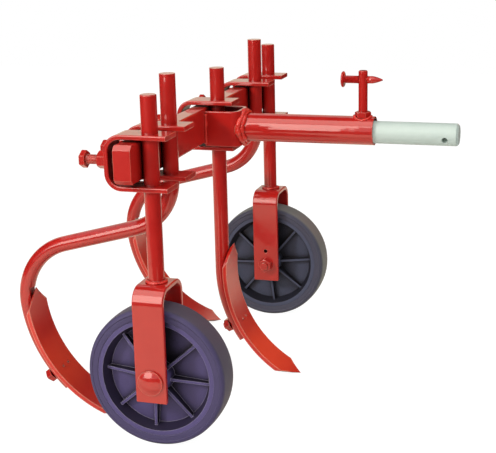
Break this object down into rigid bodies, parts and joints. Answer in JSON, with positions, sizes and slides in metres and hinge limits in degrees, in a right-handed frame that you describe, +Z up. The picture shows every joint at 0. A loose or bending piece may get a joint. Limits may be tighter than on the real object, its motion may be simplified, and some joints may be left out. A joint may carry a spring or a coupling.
{
  "type": "tine cultivator",
  "caption": "Painted steel cultivator: a flat toolbar with sliding screw clamps that hold curved tines with reversible shares and depth wheels, and a drawbar tube with a locking hitch bar.",
  "frame": {"origin": "on the ground, below the middle of the overall box", "axes": "+X forward along the drawbar, +Y to the left along the toolbar, +Z up"},
  "size_m": [0.5498, 0.576, 0.452],
  "materials": {
    "red_paint": "glossy red paint on steel",
    "zinc_bar": "zinc plated, satin",
    "bright_steel": "bare turned steel",
    "rubber": "dull violet-grey solid rubber",
    "wheel_plastic": "moulded violet-blue plastic"
  },
  "bodies": {
    "frame": {"toolbar": "red_paint", "drawbar_bracket": "red_paint", "drawbar_tube": "red_paint", "lock_nut": "red_paint"},
    "hitch": {"hitch_bar": "zinc_bar"},
    "screw": {"lock_screw": "red_paint", "tommy_pin": "red_paint"},
    "clamp_right_wheel_body": {"clamp_strap_right_wheel": "red_paint", "clamp_nut_right_wheel": "red_paint"},
    "clamp_right_tine_body": {"clamp_strap_right_tine": "red_paint", "clamp_nut_right_tine": "red_paint"},
    "clamp_centre_tine_body": {"clamp_strap_centre_tine": "red_paint", "clamp_nut_centre_tine": "red_paint"},
    "clamp_left_tine_body": {"clamp_strap_left_tine": "red_paint", "clamp_nut_left_tine": "red_paint"},
    "clamp_left_wheel_body": {"clamp_strap_left_wheel": "red_paint", "clamp_nut_left_wheel": "red_paint"},
    "bolt_right_wheel_body": {"clamp_bolt_right_wheel": "red_paint"},
    "bolt_right_tine_body": {"clamp_bolt_right_tine": "red_paint"},
    "bolt_centre_tine_body": {"clamp_bolt_centre_tine": "red_paint"},
    "bolt_left_tine_body": {"clamp_bolt_left_tine": "red_paint"},
    "bolt_left_wheel_body": {"clamp_bolt_left_wheel": "red_paint"},
    "right_stem_set": {"right_stem": "red_paint", "right_fork": "red_paint", "right_axle_sleeve": "bright_steel", "right_thrust_washers": "bright_steel", "right_axle_bolt": "red_paint", "right_axle_nut": "red_paint"},
    "right_wheel": {"right_tyre": "rubber", "right_wheel_centre": "wheel_plastic"},
    "left_stem_set": {"left_stem": "red_paint", "left_fork": "red_paint", "left_axle_sleeve": "bright_steel", "left_thrust_washers": "bright_steel", "left_axle_bolt": "red_paint", "left_axle_nut": "red_paint"},
    "left_wheel": {"left_tyre": "rubber", "left_wheel_centre": "wheel_plastic"},
    "right_tine_set": {"right_tine": "red_paint", "right_share": "red_paint", "right_share_bolt": "red_paint", "right_share_nut": "red_paint"},
    "centre_tine_set": {"centre_tine": "red_paint", "centre_share": "red_paint", "centre_share_bolt": "red_paint", "centre_share_nut": "red_paint"},
    "left_tine_set": {"left_tine": "red_paint", "left_share": "red_paint", "left_share_bolt": "red_paint", "left_share_nut": "red_paint"}
  },
  "joints": [
    {"name": "clamp_right_wheel_slide", "type": "slide", "parent": "frame", "child": "clamp_right_wheel_body", "axis": [0, 1, 0], "range_m": [-0.014, 0.008]},
    {"name": "clamp_right_tine_slide", "type": "slide", "parent": "frame", "child": "clamp_right_tine_body", "axis": [0, 1, 0], "range_m": [-0.008, 0.1]},
    {"name": "clamp_centre_tine_slide", "type": "slide", "parent": "frame", "child": "clamp_centre_tine_body", "axis": [0, 1, 0], "range_m": [-0.008, 0.008]},
    {"name": "clamp_left_tine_slide", "type": "slide", "parent": "frame", "child": "clamp_left_tine_body", "axis": [0, 1, 0], "range_m": [-0.1, 0.008]},
    {"name": "clamp_left_wheel_slide", "type": "slide", "parent": "frame", "child": "clamp_left_wheel_body", "axis": [0, 1, 0], "range_m": [-0.008, 0.014]},
    {"name": "bolt_right_wheel_turn", "type": "hinge", "parent": "clamp_right_wheel_body", "child": "bolt_right_wheel_body", "pos_m": [-0.12, -0.247, 0.3565], "axis": [-1, 0, 0], "range_deg": [0, 540]},
    {"name": "bolt_right_tine_turn", "type": "hinge", "parent": "clamp_right_tine_body", "child": "bolt_right_tine_body", "pos_m": [-0.12, -0.184, 0.3565], "axis": [-1, 0, 0], "range_deg": [0, 540]},
    {"name": "bolt_centre_tine_turn", "type": "hinge", "parent": "clamp_centre_tine_body", "child": "bolt_centre_tine_body", "pos_m": [-0.12, 0, 0.3565], "axis": [-1, 0, 0], "range_deg": [0, 540]},
    {"name": "bolt_left_tine_turn", "type": "hinge", "parent": "clamp_left_tine_body", "child": "bolt_left_tine_body", "pos_m": [-0.12, 0.176, 0.3565], "axis": [-1, 0, 0], "range_deg": [0, 540]},
    {"name": "bolt_left_wheel_turn", "type": "hinge", "parent": "clamp_left_wheel_body", "child": "bolt_left_wheel_body", "pos_m": [-0.12, 0.247, 0.3565], "axis": [-1, 0, 0], "range_deg": [0, 540]},
    {"name": "right_wheel_height", "type": "slide", "parent": "clamp_right_wheel_body", "child": "right_stem_set", "axis": [0, 0, 1], "range_m": [-0.035, 0.1]},
    {"name": "right_wheel_roll", "type": "hinge", "parent": "right_stem_set", "child": "right_wheel", "pos_m": [-0.0536, -0.247, 0.09], "axis": [0, 1, 0], "continuous": true},
    {"name": "left_wheel_height", "type": "slide", "parent": "clamp_left_wheel_body", "child": "left_stem_set", "axis": [0, 0, 1], "range_m": [-0.035, 0.1]},
    {"name": "left_wheel_roll", "type": "hinge", "parent": "left_stem_set", "child": "left_wheel", "pos_m": [-0.0536, 0.247, 0.09], "axis": [0, 1, 0], "continuous": true},
    {"name": "right_tine_height", "type": "slide", "parent": "clamp_right_tine_body", "child": "right_tine_set", "axis": [0, 0, 1], "range_m": [-0.05, 0]},
    {"name": "centre_tine_height", "type": "slide", "parent": "clamp_centre_tine_body", "child": "centre_tine_set", "axis": [0, 0, 1], "range_m": [-0.035, 0.11]},
    {"name": "left_tine_height", "type": "slide", "parent": "clamp_left_tine_body", "child": "left_tine_set", "axis": [0, 0, 1], "range_m": [-0.05, 0]},
    {"name": "lock_screw_turn", "type": "hinge", "parent": "frame", "child": "screw", "pos_m": [0.1484, 0, 0.42], "axis": [0, 0, 1], "range_deg": [0, 450]},
    {"name": "hitch_reach", "type": "slide", "parent": "frame", "child": "hitch", "axis": [1, 0, 0], "range_m": [-0.035, 0.06]}
  ]
}
